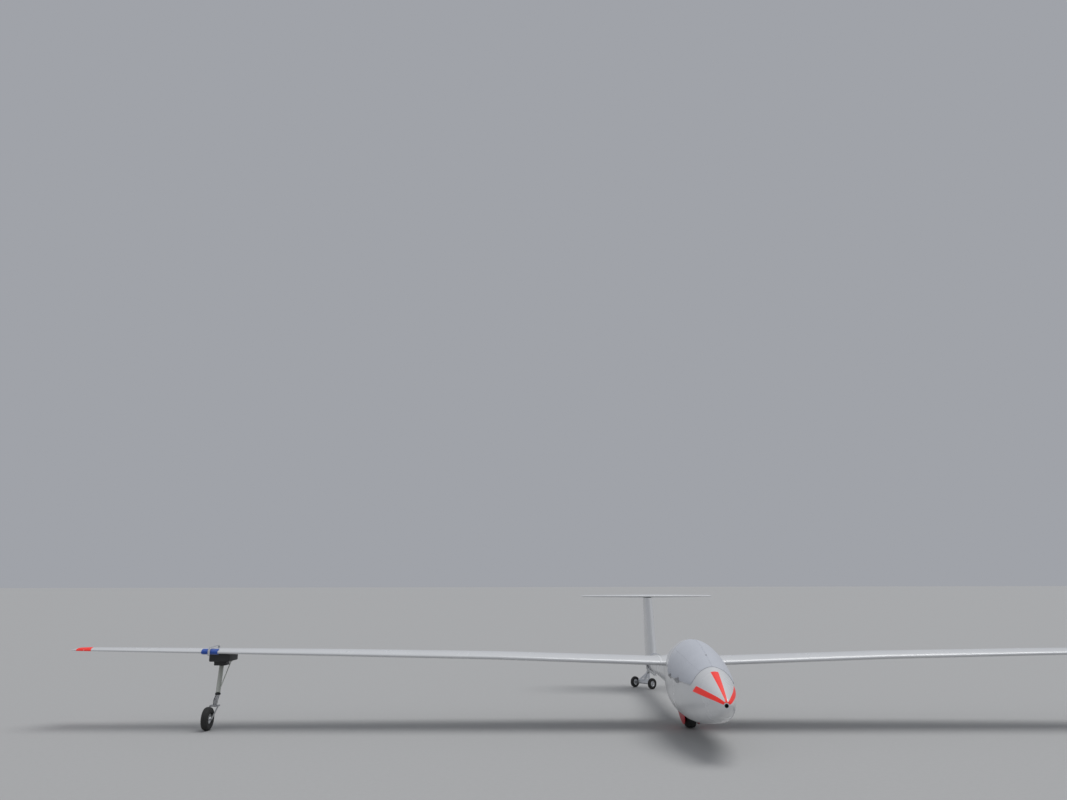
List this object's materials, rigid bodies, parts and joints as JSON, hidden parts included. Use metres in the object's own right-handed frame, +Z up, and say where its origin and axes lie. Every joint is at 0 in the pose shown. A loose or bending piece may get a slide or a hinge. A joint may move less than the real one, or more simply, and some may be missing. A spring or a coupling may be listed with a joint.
{
  "type": "sailplane glider",
  "caption": "Single-seat fibreglass sailplane with a T-tail, parked on its main wheel with a tail dolly and a wing wheel fitted and a cloth cover over the canopy.",
  "frame": {"origin": "on the ground under the middle of the box round the whole aircraft", "axes": "+X towards the glider's left wing tip, -Y towards the nose, +Z up"},
  "size_m": [15, 6.52, 1.4878],
  "materials": {
    "gelcoat": "gloss white gelcoat",
    "cover_cloth": "matt stretch cloth",
    "clear_canopy": "clear acrylic",
    "red_paint": "signal red",
    "tyre_rubber": "worn rubber",
    "bare_metal": "brushed",
    "steel": "grey painted steel",
    "black_plastic": "matt black",
    "grey_plastic": "grey speckled paint",
    "blue_cloth": "padded blue cloth"
  },
  "bodies": {
    "airframe": {"fuselage_shell": "gelcoat", "fin": "gelcoat", "tailplane": "gelcoat", "wing_right": "gelcoat", "wing_left": "gelcoat", "seat_pan": "grey_plastic", "headrest": "black_plastic", "instrument_panel": "black_plastic", "rudder_pedals": "bare_metal", "control_stick": "black_plastic", "main_gear_legs": "steel", "gear_door_right": "red_paint", "gear_door_left": "red_paint", "dolly_cradle": "bare_metal", "dolly_strap": "blue_cloth", "wing_wheel_board": "black_plastic", "wing_wheel_pad": "blue_cloth", "wing_wheel_arm": "bare_metal", "wing_wheel_mast": "bare_metal", "tow_hook": "steel", "cockpit_levers_left": "bare_metal", "cockpit_levers_right": "bare_metal"},
    "canopy": {"canopy_frame": "gelcoat", "canopy_glass": "clear_canopy", "canopy_cover": "cover_cloth"},
    "rudder": {"rudder": "gelcoat"},
    "elevator": {"elevator": "gelcoat"},
    "aileron_right": {"aileron_right": "gelcoat"},
    "aileron_left": {"aileron_left": "gelcoat"},
    "airbrake_right": {"airbrake_blade_right": "gelcoat"},
    "airbrake_lower_right": {"airbrake_lower_right": "bare_metal"},
    "airbrake_left": {"airbrake_blade_left": "gelcoat"},
    "airbrake_lower_left": {"airbrake_lower_left": "bare_metal"},
    "main_wheel": {"main_wheel_tyre": "tyre_rubber", "main_wheel_hub": "bare_metal"},
    "tail_wheel": {"tail_wheel_tyre": "tyre_rubber", "tail_wheel_hub": "bare_metal"},
    "dolly_swivel": {"dolly_yoke": "bare_metal"},
    "dolly_wheels": {"dolly_wheel_axle": "bare_metal", "dolly_tyre_right": "tyre_rubber", "dolly_tyre_left": "tyre_rubber"},
    "wing_wheel_swivel": {"wing_wheel_fork": "bare_metal"},
    "wing_wheel": {"wing_wheel_tyre": "tyre_rubber", "wing_wheel_hub": "bare_metal"}
  },
  "joints": [
    {"name": "canopy_hinge", "type": "hinge", "parent": "airframe", "child": "canopy", "pos_m": [-0.324, -1.98, 0.658], "axis": [0, -1, 0], "range_deg": [0, 85]},
    {"name": "rudder_hinge", "type": "hinge", "parent": "airframe", "child": "rudder", "pos_m": [0, 2.815, 0.405], "axis": [0, 0.1213, 0.9926], "range_deg": [-30, 30]},
    {"name": "elevator_hinge", "type": "hinge", "parent": "airframe", "child": "elevator", "pos_m": [0, 2.942, 1.461], "axis": [1, 0, 0], "range_deg": [-20, 25]},
    {"name": "aileron_right_hinge", "type": "hinge", "parent": "airframe", "child": "aileron_right", "pos_m": [-4.42, -0.70237, 0.83869], "axis": [0.9989, 0.0435, -0.0161], "range_deg": [-18, 18]},
    {"name": "aileron_left_hinge", "type": "hinge", "parent": "airframe", "child": "aileron_left", "pos_m": [4.42, -0.70237, 0.83869], "axis": [0.9989, -0.0435, 0.0161], "range_deg": [-18, 18]},
    {"name": "airbrake_right_lift", "type": "slide", "parent": "airframe", "child": "airbrake_right", "axis": [0, 0, 1], "range_m": [0, 0.044]},
    {"name": "airbrake_right_lower_lift", "type": "slide", "parent": "airframe", "child": "airbrake_lower_right", "axis": [0, 0, 1], "range_m": [0, 0.022]},
    {"name": "airbrake_left_lift", "type": "slide", "parent": "airframe", "child": "airbrake_left", "axis": [0, 0, 1], "range_m": [0, 0.044]},
    {"name": "airbrake_left_lower_lift", "type": "slide", "parent": "airframe", "child": "airbrake_lower_left", "axis": [0, 0, 1], "range_m": [0, 0.022]},
    {"name": "main_wheel_spin", "type": "hinge", "parent": "airframe", "child": "main_wheel", "pos_m": [0, -1.11, 0.18], "axis": [1, 0, 0], "continuous": true},
    {"name": "tail_wheel_spin", "type": "hinge", "parent": "airframe", "child": "tail_wheel", "pos_m": [0, 2.68, 0.396], "axis": [1, 0, 0], "continuous": true},
    {"name": "dolly_swivel_turn", "type": "hinge", "parent": "airframe", "child": "dolly_swivel", "pos_m": [0, 2.84, 0.256], "axis": [0, 0, 1], "continuous": true},
    {"name": "dolly_wheels_spin", "type": "hinge", "parent": "dolly_swivel", "child": "dolly_wheels", "pos_m": [-0.09346, 2.76158, 0.085], "axis": [0.6428, -0.766, 0], "continuous": true},
    {"name": "wing_wheel_swivel_turn", "type": "hinge", "parent": "airframe", "child": "wing_wheel_swivel", "pos_m": [-5.665, -1.095, 0.252], "axis": [0, 0, 1], "continuous": true},
    {"name": "wing_wheel_spin", "type": "hinge", "parent": "wing_wheel_swivel", "child": "wing_wheel", "pos_m": [-5.665, -1.302, 0.13], "axis": [1, 0, 0], "continuous": true}
  ],
  "couplings": [
    {"joint": "aileron_left_hinge", "follows": "aileron_right_hinge", "ratio": -1},
    {"joint": "airbrake_right_lower_lift", "follows": "airbrake_right_lift", "ratio": 0.5},
    {"joint": "airbrake_left_lift", "follows": "airbrake_right_lift", "ratio": 1},
    {"joint": "airbrake_left_lower_lift", "follows": "airbrake_right_lift", "ratio": 0.5}
  ]
}
